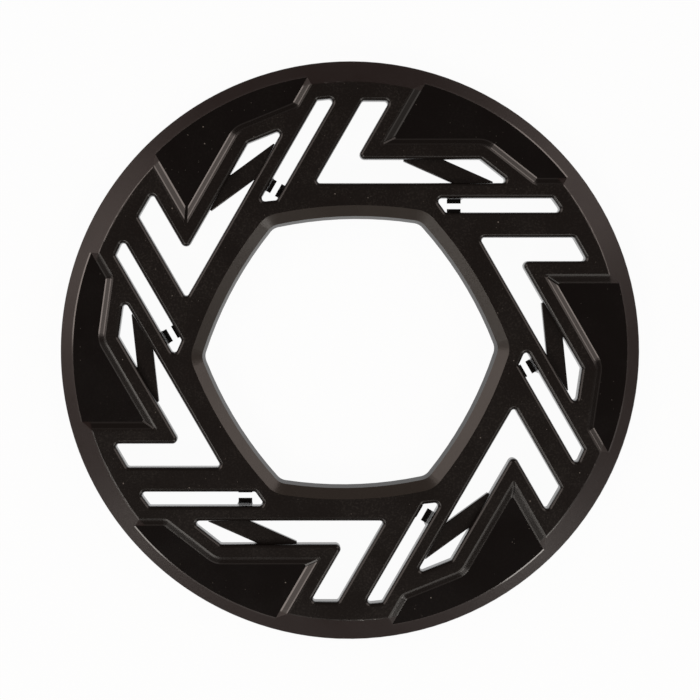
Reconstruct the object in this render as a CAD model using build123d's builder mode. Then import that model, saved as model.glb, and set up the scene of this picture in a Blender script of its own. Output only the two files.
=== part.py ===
"""Bicycle chain guard: one moulded ring, drawn face up and lying on the tips of its hooks."""
import os
from math import atan2, cos, radians, sin, sqrt, tan

from build123d import *

# Ring: overall diameter, plate and the number of like sectors
outer_diameter = 150.0
plate_thickness = 4.0
sector_count = 6

# Rim: a bevel that falls from the front face to a thin outer edge
rim_width = 5.5
rim_edge = 0.8
rim_round = 0.8
rim_edge_round = 0.35

# Central opening: six bowed sides, a bevel down to a lip and a steep wall below it
opening_flat = 70.3
opening_side_radius = 100.0
opening_turn = 1.6
opening_corner = 4.2
bevel_width = 2.75
bevel_depth = 1.65
lip_draft = 0.7

# Slots: one long narrow slot in each sector, cut off at a slant
slot_width = 3.65
slot_slant = 54.0
slot_corner = 0.5
slot_tip = 0.85
hub_step = 0.9
hub_web = 4.05
rim_web = 4.1

# Windows: a short arm and a long arm that meet at the sector angle
window_width = 6.05
window_slant = 38.0
window_corner = 0.75
window_bend_front = 0.407
slot_web = 3.9
arm_web = 6.45

# Braces: a low bar across the long arm of each window
brace_width = 4.6
brace_slant = 23.9
brace_setback = 15.9
brace_thickness = 1.8
brace_tuck = 1.0
brace_blunt = 0.45
brace_round = 0.3

# Pads: shallow recesses that are open at the rim and follow the window outside it
pad_depth = 1.2
pad_wall = 1.8
pad_side_wall = 2.15
pad_neck = 6.25
pad_web = 3.55
pad_end_web = 3.4
pad_corner = 0.5
pad_bend = 4.5
pad_heel = 2.5
pad_edge_width = 0.25
pad_edge_drop = 0.15

# Front edges of slots and windows, rounded in two facets
edge_depth = 0.9
edge_steep = 22.5
edge_top_depth = 0.37
edge_shallow = 67.5

# Hooks: a pair that face each other across each slot
hook_reach = 6.0
hook_width = 4.1
hook_tip_width = 3.4
hook_thickness = 1.6
hook_nose = 1.1
hook_nose_height = 1.7
hook_nose_land = 0.5
hook_draft = 0.25
hook_inset = 2.75

# Levels and radii
outer_radius = outer_diameter / 2
rim_radius = outer_radius - rim_width
back = hook_reach
front = back + plate_thickness
lip = front - bevel_depth
sector_angle = 360 / sector_count
tilt = radians(sector_angle)

# Distances of straight edges from the ring's axis, from the hub outwards
lip_flat = opening_flat / 2
side_shift = opening_side_radius - lip_flat
corner_centre = sqrt((opening_side_radius - opening_corner) ** 2 - (side_shift * sin(tilt / 2)) ** 2)
corner_centre -= side_shift * cos(tilt / 2)
side_span = atan2(corner_centre * sin(tilt / 2), corner_centre * cos(tilt / 2) + side_shift)
lip_corner = corner_centre + opening_corner
slot_near = lip_flat + hub_step
slot_far = slot_near + slot_width
window_near = slot_far + slot_web
window_far = window_near + window_width
pad_near = window_far + pad_web
pad_end = slot_far + pad_end_web
arm_far = slot_near - arm_web
arm_near = arm_far - window_width
pad_side = arm_near - pad_web
pad_slope_near = rim_radius - pad_neck
window_slope_far = pad_slope_near - pad_web


def arm_x(distance, height):
    """X of an edge that runs along the short arm, at a height above the ring's axis."""
    return (height * cos(tilt) - distance) / sin(tilt)


def slope_x(distance, height):
    """X of an edge that runs along the slanted end of a window, at a height above the ring's axis."""
    lean = radians(window_slant)
    return (distance - height * cos(lean)) / sin(lean)


def opening_outline(level, spread):
    """Face of the central opening at a level, grown by spread from its lip."""
    joint_x = (opening_side_radius + spread) * cos(side_span) - side_shift
    joint_y = (opening_side_radius + spread) * sin(side_span)
    with BuildSketch(Plane.XY.offset(level)) as outline:
        with BuildLine():
            for index in range(sector_count):
                turn = sector_angle * (index + 0.5) + opening_turn
                side_start = Vector(joint_x, -joint_y).rotate(Axis.Z, turn)
                side_middle = Vector(lip_flat + spread, 0).rotate(Axis.Z, turn)
                side_end = Vector(joint_x, joint_y).rotate(Axis.Z, turn)
                ThreePointArc(side_start, side_middle, side_end)
                corner_middle = Vector(lip_corner + spread, 0).rotate(Axis.Z, turn + sector_angle / 2)
                ThreePointArc(side_end, corner_middle, side_start.rotate(Axis.Z, sector_angle))
        make_face()
    return outline.sketch.face()


def pad_outline(level, share, spread):
    """Face of one pad at a level, for a share of its wall's depth, with its edges spread outwards."""
    inset = share * pad_wall - spread
    near = pad_near + inset
    slope = pad_slope_near + inset
    end = pad_end + inset
    side = pad_side - share * pad_side_wall + spread
    reach = outer_radius + pad_side_wall
    with BuildSketch(Plane.XY.offset(level)) as outline:
        with BuildLine():
            FilletPolyline(
                (arm_x(side, near), near),
                (slope_x(slope, near), near),
                (slope_x(slope, end), end),
                (reach, end),
                (reach, reach),
                (arm_x(side, reach), reach),
                radius=(pad_corner, pad_bend + inset, pad_heel - inset, 0, 0, 0),
                close=True,
            )
        make_face()
    return outline.sketch.face()


# Slot and window corners; the inner bend of a window keeps a radius where its edge has widened
edge_flare = edge_top_depth * tan(radians(edge_shallow))
window_bend = edge_flare + window_bend_front
slot_shift = slot_width / tan(radians(slot_slant))
slot_start = (lip_corner + bevel_width) * cos(tilt) + hub_web
slot_end = sqrt((rim_radius - rim_web) ** 2 - slot_near**2)
arm_run = sqrt((rim_radius - rim_web) ** 2 - arm_near**2)
arm_top = arm_near * cos(tilt) + arm_run * sin(tilt)
window_tip = slope_x(window_slope_far, window_near)
brace_middle = window_tip - brace_setback
hook_middle = slot_start + hook_inset

# Cutter for one pad, which runs out past the rim on its outer sides: floor, walls and eased edge
with BuildPart() as pad:
    pad_floor = pad_outline(front - pad_depth, 1, 0)
    pad_shoulder = pad_outline(front - pad_edge_drop, pad_edge_drop / pad_depth, 0)
    pad_mouth = pad_outline(front, 0, pad_edge_width)
    loft([pad_floor, pad_shoulder], ruled=True)
    loft([pad_shoulder, pad_mouth], ruled=True)

# Cutter for the slot and the window of one sector: straight walls, then two facets that widen upwards
with BuildPart() as cuts:
    with BuildSketch(Plane.XY.offset(back)) as cut_outlines:
        with BuildLine():
            FilletPolyline(
                (slot_start, slot_near),
                (slot_end, slot_near),
                (slot_end - slot_shift, slot_far),
                (slot_start - slot_shift, slot_far),
                radius=(slot_corner, slot_tip, slot_corner, slot_tip),
                close=True,
            )
        make_face()
        with BuildLine():
            FilletPolyline(
                (arm_x(arm_far, window_near), window_near),
                (window_tip, window_near),
                (slope_x(window_slope_far, window_far), window_far),
                (arm_x(arm_near, window_far), window_far),
                (arm_x(arm_near, arm_top), arm_top),
                (arm_x(arm_far, arm_top), arm_top),
                radius=(*[window_corner] * 3, window_bend, *[window_corner] * 2),
                close=True,
            )
        make_face()
    extrude(amount=plate_thickness)
    for depth, lean in ((edge_depth, edge_steep), (edge_top_depth, edge_shallow)):
        extrude(Pos(0, 0, plate_thickness - depth) * cut_outlines.sketch, amount=depth, taper=-lean)

# Brace across the long arm of one window
with BuildPart() as brace:
    brace_half = brace_width / 2 / sin(radians(brace_slant))
    brace_rise = window_width / 2 + brace_tuck
    brace_shift = brace_rise / tan(radians(brace_slant))
    brace_height = (window_near + window_far) / 2
    blunt_rise = window_width / 2 - brace_blunt
    blunt_reach = blunt_rise / tan(radians(brace_slant)) + brace_half
    heel_reach = brace_shift - brace_half
    with BuildSketch(Plane.XY.offset(back)):
        with BuildLine():
            Polyline(
                (brace_middle + heel_reach, brace_height - brace_rise),
                (brace_middle + blunt_reach, brace_height - brace_rise),
                (brace_middle + blunt_reach, brace_height - blunt_rise),
                (brace_middle - heel_reach, brace_height + brace_rise),
                (brace_middle - blunt_reach, brace_height + brace_rise),
                (brace_middle - blunt_reach, brace_height + blunt_rise),
                close=True,
            )
        make_face()
    extrude(amount=brace_thickness)
    fillet(brace.faces().sort_by(Axis.Z)[-1].edges().sort_by(SortBy.LENGTH)[-2:], brace_round)

# Hook on the far side of one slot
with BuildPart() as hook:
    with BuildSketch(Plane.YZ.offset(hook_middle)):
        with BuildLine():
            Polyline(
                (slot_far, back),
                (slot_far - hook_draft, hook_nose_height),
                (slot_far - hook_nose, hook_nose_height),
                (slot_far - hook_nose, hook_nose_height - hook_nose_land),
                (slot_far, 0),
                (slot_far + hook_thickness, 0),
                (slot_far + hook_thickness, back),
                close=True,
            )
        make_face()
    extrude(amount=hook_width / 2, both=True)
    with BuildSketch(Plane.XZ.offset(-slot_far)):
        with BuildLine():
            Polyline(
                (hook_middle - hook_width / 2, back),
                (hook_middle + hook_width / 2, back),
                (hook_middle + hook_tip_width / 2, 0),
                (hook_middle - hook_tip_width / 2, 0),
                close=True,
            )
        make_face()
    extrude(amount=hook_thickness + hook_nose, both=True, mode=Mode.INTERSECT)
    mirror(about=Plane.XZ.offset(-(slot_near + slot_far) / 2))

with BuildPart() as guard_ring:
    # Disc with its rim bevel
    with BuildSketch(Plane.XZ):
        with BuildLine():
            FilletPolyline(
                (0, back),
                (outer_radius, back),
                (outer_radius, back + rim_edge),
                (rim_radius, front),
                (0, front),
                radius=(0, 0, rim_edge_round, rim_round, 0),
                close=True,
            )
        make_face()
    revolve(axis=Axis.Z)

    # Recessed pads
    with PolarLocations(0, sector_count):
        add(pad.part, mode=Mode.SUBTRACT)

    # Central opening: a bevel above the lip and a drafted wall below it
    lip_outline = opening_outline(lip, 0)
    loft([lip_outline, opening_outline(front, bevel_width)], ruled=True, mode=Mode.SUBTRACT)
    loft([opening_outline(back, -lip_draft), lip_outline], ruled=True, mode=Mode.SUBTRACT)

    # Slots and windows
    with PolarLocations(0, sector_count):
        add(cuts.part, mode=Mode.SUBTRACT)

    # Braces and hooks
    with PolarLocations(0, sector_count):
        add(brace.part)
        add(hook.part)

guard_ring.part.label = "guard_ring"
os.makedirs("parts", exist_ok=True)
export_step(guard_ring.part, "parts/guard_ring.step")
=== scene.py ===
from math import cos, radians, sin

import bpy
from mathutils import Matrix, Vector


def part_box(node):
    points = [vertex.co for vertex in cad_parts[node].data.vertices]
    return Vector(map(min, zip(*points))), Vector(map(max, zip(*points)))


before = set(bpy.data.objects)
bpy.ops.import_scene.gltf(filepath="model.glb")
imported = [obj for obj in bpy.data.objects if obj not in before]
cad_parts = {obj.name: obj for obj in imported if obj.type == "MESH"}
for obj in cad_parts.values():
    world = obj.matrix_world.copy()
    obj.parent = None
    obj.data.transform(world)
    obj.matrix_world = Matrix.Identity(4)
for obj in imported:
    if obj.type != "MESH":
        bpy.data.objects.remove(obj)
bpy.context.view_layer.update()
scene = bpy.context.scene

# Guard ring: one injection moulding in black plastic. The mould gives it four finishes: dull grained
# bevels at the rim and the hub, a satin plate, smoother pads, and glossy walls where polished cores
# shape the cut-outs. A little pale dust lies on it.
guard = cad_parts["guard_ring"]
_, ring_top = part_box("guard_ring")
front_level = ring_top.z
outer_radius = ring_top.x
rim_width = 0.0055
rim_drop = 0.0032
rim_start = outer_radius - rim_width
hub_reach = 0.0445
pad_depth = 0.0012
pad_middle = radians(56.7)
pad_half_span = radians(17.8)
half_sector = radians(30.0)
edge_round = 0.0009
plastic_ior = 1.49

plastic = bpy.data.materials.new("black_moulded_plastic")
plastic.use_nodes = True
nodes = plastic.node_tree.nodes
links = plastic.node_tree.links
skin = nodes["Principled BSDF"]
skin.inputs["IOR"].default_value = plastic_ior
place = nodes.new("ShaderNodeTexCoord").outputs["Object"]
facing = nodes.new("ShaderNodeNewGeometry").outputs["Normal"]


def set_socket(socket, value):
    """Join a socket to another one, or give it a plain value."""
    if hasattr(value, "is_linked"):
        links.new(value, socket)
    else:
        socket.default_value = value


def calculate(operation, first, second=0.0):
    """One step of arithmetic on values that change over the surface."""
    node = nodes.new("ShaderNodeMath")
    node.operation = operation
    for socket, value in zip(node.inputs, (first, second)):
        set_socket(socket, value)
    return node.outputs[0]


def times(first, second):
    """Product of two values, such as the place where two masks meet."""
    return calculate("MULTIPLY", first, second)


def plus(first, second):
    """Sum of two values."""
    return calculate("ADD", first, second)


def minus(first, second):
    """Difference of two values."""
    return calculate("SUBTRACT", first, second)


def larger(first, second):
    """Larger of two values, such as the place of either of two masks."""
    return calculate("MAXIMUM", first, second)


def outside(mask):
    """All that a mask leaves out."""
    return minus(1.0, mask)


def ramp(value, low, high, start=0.0, end=1.0):
    """Smooth change from start to end while a value goes from low to high."""
    node = nodes.new("ShaderNodeMapRange")
    node.interpolation_type = "SMOOTHSTEP"
    names = ("Value", "From Min", "From Max", "To Min", "To Max")
    for name, number in zip(names, (value, low, high, start, end)):
        set_socket(node.inputs[name], number)
    return node.outputs["Result"]


def fade(value, low, high):
    """Smooth change from full to nothing while a value goes from low to high."""
    return ramp(value, low, high, 1.0, 0.0)


def band(value, rise, fall):
    """Mask that rises over one range of a value and falls over another."""
    return times(ramp(value, *rise), fade(value, *fall))


def mottle(size, detail):
    """Cloudy variation with blobs of about one size, in metres."""
    node = nodes.new("ShaderNodeTexNoise")
    node.inputs["Scale"].default_value = 1 / size
    node.inputs["Detail"].default_value = detail
    links.new(place, node.inputs["Vector"])
    return node.outputs["Fac"]


def split(vector):
    """The three parts of a vector or colour."""
    node = nodes.new("ShaderNodeSeparateXYZ")
    links.new(vector, node.inputs[0])
    return node.outputs


def flecks(spacing, radius, share, smallest=0.45, core=0.5):
    """Round flecks seen from the front: a share of the cells of one spacing holds one each."""
    node = nodes.new("ShaderNodeTexVoronoi")
    node.voronoi_dimensions = "2D"
    node.inputs["Scale"].default_value = 1 / spacing
    links.new(place, node.inputs["Vector"])
    chance, size, _ = split(node.outputs["Color"])
    edge = times(ramp(size, 0.0, 1.0, smallest, 1.0), radius / spacing)
    inside = fade(node.outputs["Distance"], times(edge, core), edge)
    return times(inside, calculate("LESS_THAN", chance, share))


def blend(share, first, second):
    """Mix of two colours by a share; a mix node holds its colours at inputs 6 and 7 and output 2."""
    node = nodes.new("ShaderNodeMix")
    node.data_type = "RGBA"
    sockets = (node.inputs["Factor"], node.inputs[6], node.inputs[7])
    for socket, value in zip(sockets, (share, first, second)):
        set_socket(socket, value)
    return node.outputs[2]


# Where a point lies: across, along, below the front face and out from the axis
across, along, level = split(place)
drop = minus(front_level, level)
distance = calculate("SQRT", plus(times(across, across), times(along, along)))

# Kinds of face, told by the upward part of the normal, which is 0 on a wall and 1 on the plate
_, _, upward = split(facing)
flat_rise = (0.90, 0.97)
slope_rise = (0.80, 0.83)
slope_fall = (0.88, 0.90)
flat = ramp(upward, *flat_rise)
sloping = band(upward, slope_rise, slope_fall)

# Where each finish lies: pads by their level, bevels by their place and tilt, walls by their steepness
pad_rise = (0.0001, 0.0004)
pad_fall = (pad_depth + 0.0002, pad_depth + 0.0004)
rim_rise = (rim_start - 0.0003, rim_start + 0.0004)
hub_fall = (hub_reach, hub_reach + 0.001)
pads = times(band(drop, pad_rise, pad_fall), flat)
rim = times(ramp(distance, *rim_rise), outside(pads))
hub = times(sloping, fade(distance, *hub_fall))
bevels = larger(rim, hub)
walls = times(fade(upward, *slope_fall), outside(bevels))

# Colour: warm blacks, varied a little by the grain, with flecks and a thin film of dust on flat faces
rim_colour = (0.0160, 0.0082, 0.0070, 1.0)
hub_colour = (0.0360, 0.0300, 0.0260, 1.0)
plate_colour = (0.0076, 0.0055, 0.0047, 1.0)
pad_colour = (0.0026, 0.0013, 0.0011, 1.0)
dust_colour = (0.300, 0.270, 0.245, 1.0)
film_grain = (0.48, 0.66)
film_clouds = (0.40, 0.65)
film_cover = (0.016, 0.050)
pad_cleanness = 0.85
fleck_cover = 0.55
small_fleck_share = 0.35
grain = mottle(size=0.00045, detail=3.0)
clouds = mottle(size=0.012, detail=3.0)
face_colour = blend(pads, plate_colour, pad_colour)
body_colour = blend(rim, blend(hub, face_colour, hub_colour), rim_colour)
film = times(ramp(grain, *film_grain), ramp(clouds, *film_clouds, *film_cover))
film = times(film, outside(times(pads, pad_cleanness)))
large_flecks = flecks(spacing=0.0042, radius=0.00024, share=0.11)
small_flecks = flecks(spacing=0.0017, radius=0.00016, share=0.10)
specks = larger(large_flecks, times(small_flecks, small_fleck_share))
dust = times(plus(film, times(specks, fleck_cover)), flat)
links.new(blend(dust, body_colour, dust_colour), skin.inputs["Base Color"])

# Gloss: satin all over, duller on the bevels, glossier on the pads and the walls
satin_clouds = (0.3, 0.7)
satin_roughness = (0.24, 0.29)
rim_dullness = 0.16
hub_dullness = 0.02
pad_gloss = 0.04
wall_gloss = 0.06
satin = ramp(clouds, *satin_clouds, *satin_roughness)
dull = plus(times(rim, rim_dullness), times(hub, hub_dullness))
glossy = plus(times(pads, pad_gloss), times(walls, wall_gloss))
links.new(plus(satin, minus(dull, glossy)), skin.inputs["Roughness"])

# Burnish: a bright line along both edges of the pads' walls and along the inner edge of the rim
burnish_roughness = 0.15
burnish_ior = 1.8
pad_wall_rise = (0.70, 0.75)
wall_top_fall = (0.00030, 0.00036)
wall_top_shine = 0.7
wall_foot_rise = (pad_depth - 0.00026, pad_depth - 0.00020)
crest_rise = (0.88, 0.89)
crest_fall = (0.925, 0.94)
crest_reach = (rim_start - 0.0008, rim_start - 0.0006)
pad_rim = rim_start + pad_depth * rim_width / rim_drop
pad_crest_rise = (pad_rim - 0.00004, pad_rim)
pad_crest_fall = (pad_rim + 0.0003, pad_rim + 0.0004)
wall_top = ramp(drop, *wall_top_fall, wall_top_shine, 0.0)
wall_foot = ramp(drop, *wall_foot_rise)
pad_edges = times(times(walls, ramp(upward, *pad_wall_rise)), larger(wall_top, wall_foot))
crest = times(band(upward, crest_rise, crest_fall), ramp(distance, *crest_reach))
turn_from_pad = minus(calculate("ARCTAN2", along, across), pad_middle)
off_middle = calculate("PINGPONG", turn_from_pad, half_sector)
beside_pad = calculate("LESS_THAN", off_middle, pad_half_span)
pad_crest = times(band(distance, pad_crest_rise, pad_crest_fall), beside_pad)
links.new(larger(pad_edges, larger(crest, pad_crest)), skin.inputs["Coat Weight"])
skin.inputs["Coat Roughness"].default_value = burnish_roughness
skin.inputs["Coat IOR"].default_value = burnish_ior

# Rounding: the two facets along each cut-out's front edge are shaded as the quarter round they stand for
steep_rise = (0.31, 0.36)
steep_fall = (0.41, 0.46)
shallow_rise = (0.90, 0.915)
shallow_fall = (0.935, 0.95)
least_drop = 0.00002
facets = plus(band(upward, steep_rise, steep_fall), band(upward, shallow_rise, shallow_fall))
facets = times(times(facets, outside(rim)), calculate("LESS_THAN", drop, edge_round))
turn = calculate("ARCCOSINE", outside(calculate("DIVIDE", larger(drop, least_drop), edge_round)))
sideways = calculate("SQRT", outside(times(upward, upward)))
round_upward = calculate("DIVIDE", sideways, calculate("TANGENT", turn))
lift = nodes.new("ShaderNodeCombineXYZ")
links.new(times(facets, minus(round_upward, upward)), lift.inputs["Z"])
rounded = nodes.new("ShaderNodeVectorMath")
links.new(facing, rounded.inputs[0])
links.new(lift.outputs[0], rounded.inputs[1])

# Grain in relief, strongest on the bevels and absent from the walls
bevel_relief = 0.9
flat_relief = 0.5
grain_height = 0.00003
grain_strength = 0.5
relief = plus(times(bevels, bevel_relief), times(flat, flat_relief))
bump = nodes.new("ShaderNodeBump")
bump.inputs["Distance"].default_value = grain_height
bump.inputs["Strength"].default_value = grain_strength
links.new(rounded.outputs[0], bump.inputs["Normal"])
links.new(times(grain, relief), bump.inputs["Height"])
links.new(bump.outputs[0], skin.inputs["Normal"])

for slot in guard.material_slots:
    slot.material = plastic

# Floor: a sheet of plain white paper, laid flat and wide enough to fill the view from above. It reads
# as white to the camera and in reflections, and still takes the soft shadow of the ring.
floor_half = 3.0
paper_colour = (0.9, 0.9, 0.9, 1.0)
white_share = 0.96
floor_mesh = bpy.data.meshes.new("floor")
floor_corners = [(x * floor_half, y * floor_half, 0.0) for x, y in ((-1, -1), (1, -1), (1, 1), (-1, 1))]
floor_mesh.from_pydata(floor_corners, [], [(0, 1, 2, 3)])
floor = bpy.data.objects.new("floor", floor_mesh)
scene.collection.objects.link(floor)

paper = bpy.data.materials.new("white_paper")
paper.use_nodes = True
paper_nodes = paper.node_tree.nodes
paper_links = paper.node_tree.links
paper_nodes.remove(paper_nodes["Principled BSDF"])
matte = paper_nodes.new("ShaderNodeBsdfDiffuse")
matte.inputs["Color"].default_value = paper_colour
white = paper_nodes.new("ShaderNodeEmission")
rays = paper_nodes.new("ShaderNodeLightPath")
seen = rays.outputs["Is Camera Ray"]
for ray in ("Is Glossy Ray", "Is Transmission Ray"):
    either = paper_nodes.new("ShaderNodeMath")
    either.operation = "MAXIMUM"
    paper_links.new(seen, either.inputs[0])
    paper_links.new(rays.outputs[ray], either.inputs[1])
    seen = either.outputs[0]
lit = paper_nodes.new("ShaderNodeMath")
lit.operation = "MULTIPLY"
lit.inputs[1].default_value = white_share
paper_links.new(seen, lit.inputs[0])
paper_mix = paper_nodes.new("ShaderNodeMixShader")
paper_links.new(lit.outputs[0], paper_mix.inputs[0])
paper_links.new(matte.outputs[0], paper_mix.inputs[1])
paper_links.new(white.outputs[0], paper_mix.inputs[2])
paper_links.new(paper_mix.outputs[0], paper_nodes["Material Output"].inputs["Surface"])
floor_mesh.materials.append(paper)

# Light: a dim room with soft boxes in a circle around the ring. Two warm ones at its upper left and
# upper right give the walls their sheen, and plainer ones below, low and high, light the lower rim.
warm_tint = (1.0, 0.86, 0.79)
plain_tint = (1.0, 0.95, 0.89)
room_strength = 0.10
studio = bpy.data.worlds.new("studio")
studio.use_nodes = True
room = studio.node_tree.nodes["Background"]
room.inputs["Color"].default_value = (*warm_tint, 1.0)
room.inputs["Strength"].default_value = room_strength
scene.world = studio

# Each box: bearing and height in degrees, its own width and height in metres, its watts and its tint
box_distance = 1.0
for name, bearing, height, width, tall, watts, tint in (
    ("box_upper_right", 56.0, 33.0, 0.60, 0.80, 2.50, warm_tint),
    ("box_upper_left", 290.0, 33.0, 0.70, 0.80, 3.20, warm_tint),
    ("box_lower_right", 120.0, 27.0, 0.60, 0.38, 0.20, plain_tint),
    ("strip_lower_right", 139.0, 25.0, 0.24, 0.40, 1.10, plain_tint),
    ("strip_lower_left", 226.0, 21.0, 0.24, 0.26, 0.55, plain_tint),
    ("box_lower_left", 222.0, 27.0, 1.20, 0.60, 0.30, plain_tint),
    ("box_high_left", 222.0, 50.0, 0.60, 0.30, 2.20, plain_tint),
    ("box_high_right", 145.0, 50.0, 0.60, 0.30, 1.20, plain_tint),
):
    lamp = bpy.data.lights.new(name, "AREA")
    lamp.shape = "RECTANGLE"
    lamp.size = width
    lamp.size_y = tall
    lamp.energy = watts
    lamp.color = tint
    box = bpy.data.objects.new(name, lamp)
    towards = Vector((
        sin(radians(bearing)) * cos(radians(height)),
        cos(radians(bearing)) * cos(radians(height)),
        sin(radians(height)),
    ))
    box.location = towards * box_distance
    box.rotation_euler = towards.to_track_quat("Z", "Y").to_euler()
    scene.collection.objects.link(box)

# Camera: almost straight above the ring, a little to the left of and beyond its axis, with a long
# lens. The picture is cut from the right part of the lens's field.
camera_place = (-0.01575, 0.02246, 0.474)
camera_turn = (-2.547, 0.14, -0.05)
sensor_width = 36.0
lens_length = 92.77
frame_shift = (0.0934, -0.0060)
camera = bpy.data.objects.new("camera", bpy.data.cameras.new("camera"))
camera.location = camera_place
camera.rotation_euler = [radians(angle) for angle in camera_turn]
camera.data.sensor_width = sensor_width
camera.data.lens = lens_length
camera.data.shift_x, camera.data.shift_y = frame_shift
scene.collection.objects.link(camera)
scene.camera = camera
scene.view_settings.view_transform = "Standard"
